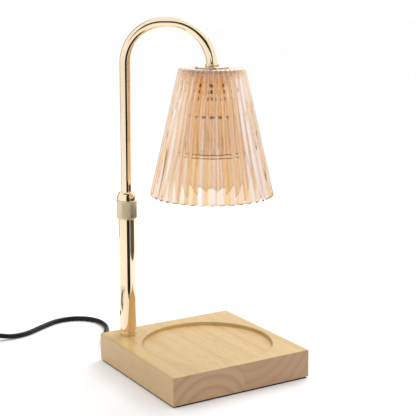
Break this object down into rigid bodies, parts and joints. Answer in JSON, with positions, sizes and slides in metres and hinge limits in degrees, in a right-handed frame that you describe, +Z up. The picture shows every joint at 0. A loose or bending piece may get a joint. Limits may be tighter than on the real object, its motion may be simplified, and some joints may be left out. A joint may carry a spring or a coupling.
{
  "type": "candle warmer lamp",
  "caption": "Table lamp that warms a candle from above: wooden base with a round recess, sliding metal post bent into an arch, fluted luster glass shade over a reflector bulb.",
  "frame": {"origin": "centre of the base's underside, on the surface that it stands on", "axes": "+Z up; the base's sides lie along X and Y, with the end grain on the -Y side; the post stands in the -X +Y corner and the arm reaches diagonally towards +X -Y"},
  "size_m": [0.3181, 0.248, 0.2984],
  "materials": {
    "board_wood": "clear satin varnish over rubberwood, long grain with end grain on the front and back",
    "pad_foam": "matt black foam",
    "gold_polished": "polished champagne gold plating",
    "gold_satin": "satin champagne gold, straight knurl",
    "zinc_thread": "bright zinc plate",
    "bush_plastic": "natural nylon",
    "luster_glass": "amber luster pressed glass with round flutes",
    "gasket_rubber": "soft translucent silicone",
    "holder_ceramic": "unglazed white ceramic",
    "bulb_mirror": "mirror coated glass reflector",
    "bulb_glass": "clear glass",
    "cord_black": "matt black PVC",
    "tie_strap": "black hook and loop strap",
    "dimmer_black": "fine textured black plastic",
    "dial_black": "satin black plastic with a ribbed edge",
    "blade_brass": "bare brass"
  },
  "bodies": {
    "root": {"base_board": "board_wood", "base_pad": "pad_foam", "foot_ring": "gold_polished", "lower_tube": "gold_polished", "post_nipple": "zinc_thread", "post_washer": "zinc_thread", "post_nut": "zinc_thread", "cord_grommet": "cord_black", "base_wire": "cord_black", "cord_lead": "cord_black", "cord_mid": "cord_black", "cord_end": "cord_black", "cord_coil": "cord_black", "coil_tie": "tie_strap", "dimmer_case": "dimmer_black", "dimmer_lid": "dimmer_black", "dimmer_sleeve_in": "cord_black", "dimmer_sleeve_out": "cord_black", "plug_body": "cord_black", "plug_sleeve": "cord_black", "plug_blade_left": "blade_brass", "plug_blade_right": "blade_brass"},
    "lock_ring": {"lock_ring": "gold_satin"},
    "collet": {"collet": "gold_polished"},
    "arm": {"arm_tube": "gold_polished", "guide_bush": "bush_plastic", "glass_shade": "luster_glass", "arm_end_ring": "gold_polished", "shade_washer": "gold_polished", "shade_rod": "zinc_thread", "shade_gasket": "gasket_rubber", "clamp_cap": "gold_polished", "rod_nut": "zinc_thread", "holder_cup": "gold_polished", "socket_strap": "zinc_thread", "lamp_socket": "holder_ceramic", "socket_screw_near": "zinc_thread", "socket_screw_far": "zinc_thread"},
    "bulb": {"bulb_reflector": "bulb_mirror", "bulb_lens": "bulb_glass", "bulb_base": "holder_ceramic", "bulb_capsule": "bulb_glass", "bulb_pin_right": "zinc_thread", "bulb_pin_left": "zinc_thread"},
    "dial": {"dimmer_dial": "dial_black"}
  },
  "joints": [
    {"name": "lock_ring_turn", "type": "hinge", "parent": "root", "child": "lock_ring", "pos_m": [-0.0453, 0.0495, 0.135], "axis": [0, 0, 1], "range_deg": [0, 120]},
    {"name": "arm_swivel", "type": "hinge", "parent": "root", "child": "collet", "pos_m": [-0.0453, 0.0495, 0.146], "axis": [0, 0, 1], "range_deg": [-170, 170]},
    {"name": "arm_height", "type": "slide", "parent": "collet", "child": "arm", "axis": [0, 0, 1], "range_m": [-0.055, 0.015]},
    {"name": "bulb_twist", "type": "hinge", "parent": "arm", "child": "bulb", "pos_m": [0.00609, -0.00581, 0.236], "axis": [0, 0, 1], "range_deg": [0, 25]},
    {"name": "dimmer_turn", "type": "hinge", "parent": "root", "child": "dial", "pos_m": [-0.176, 0.1605, 0.019], "axis": [0, 0, 1], "range_deg": [-135, 135]}
  ]
}
